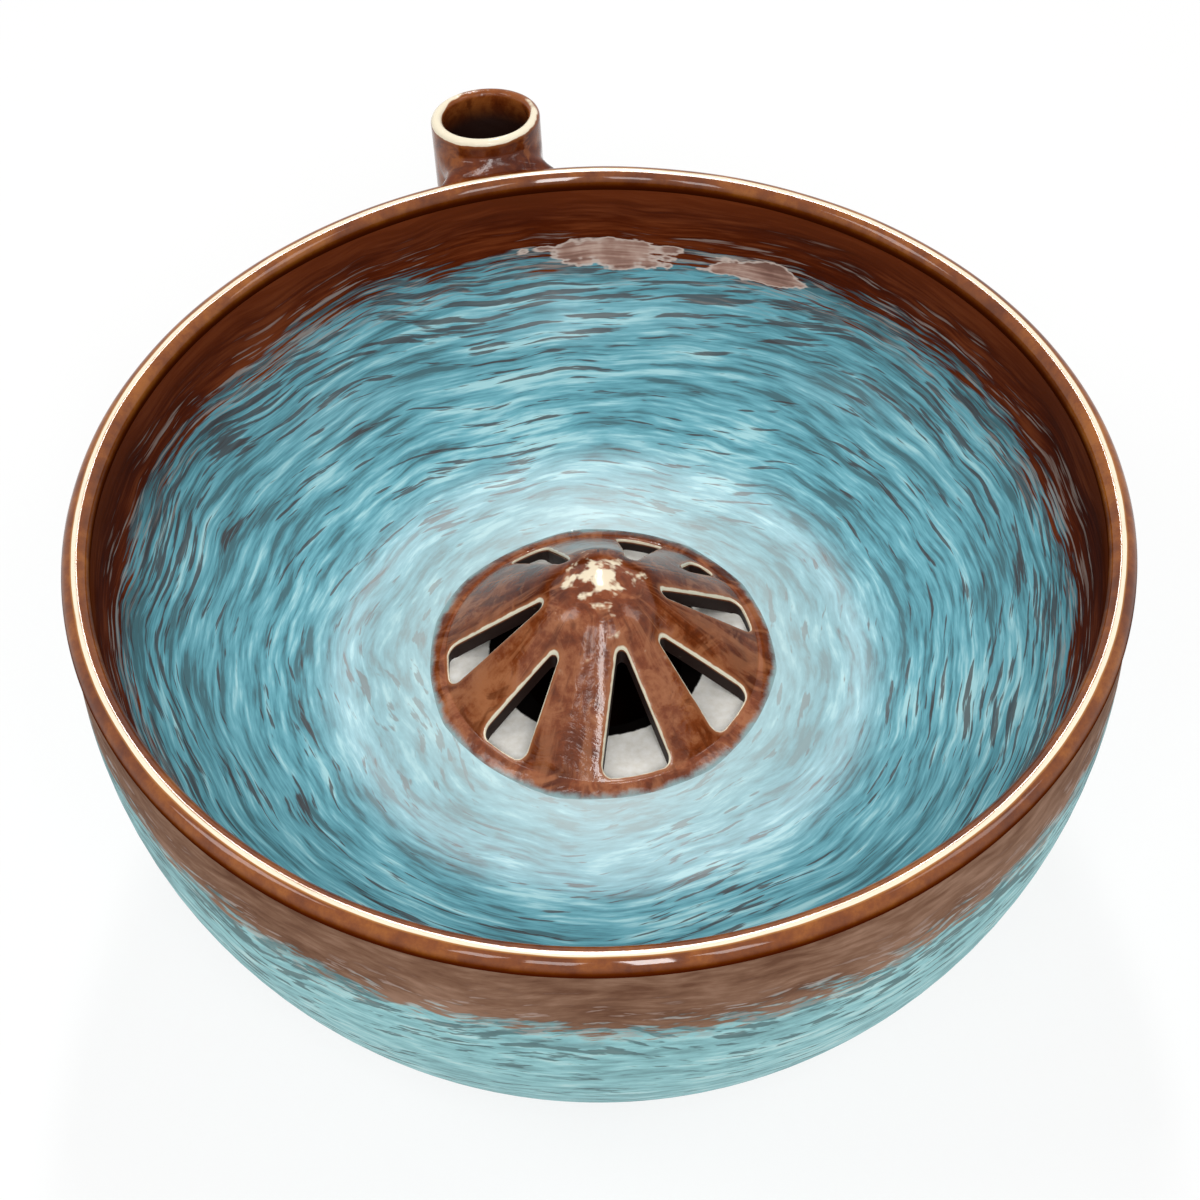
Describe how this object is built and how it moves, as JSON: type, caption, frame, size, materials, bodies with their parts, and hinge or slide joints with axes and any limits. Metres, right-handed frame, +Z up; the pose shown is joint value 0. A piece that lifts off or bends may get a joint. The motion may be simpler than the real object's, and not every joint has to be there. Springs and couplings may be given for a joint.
{
  "type": "berry colander bowl",
  "caption": "Round stoneware colander bowl with a raised inner basin, a pierced drain dome, a hidden catch chamber below it and a short pouring spout at the back of the rolled lip.",
  "frame": {"origin": "middle of the foot ring's flat face, on the table", "axes": "+Z up along the bowl's axis, +Y towards the pouring spout"},
  "size_m": [0.1602, 0.1801, 0.0828],
  "materials": {
    "turquoise_over_brown_glaze": "glossy brushed glaze, brown at the rim and streaky turquoise below",
    "amber_brown_glaze": "glossy amber-brown glaze that breaks to cream on edges"
  },
  "bodies": {
    "root": {"outer_bowl": "turquoise_over_brown_glaze", "inner_basin": "turquoise_over_brown_glaze", "lip_roll": "amber_brown_glaze", "drain_dome": "amber_brown_glaze", "spout_tube": "amber_brown_glaze", "spout_saddle": "amber_brown_glaze"}
  },
  "joints": []
}
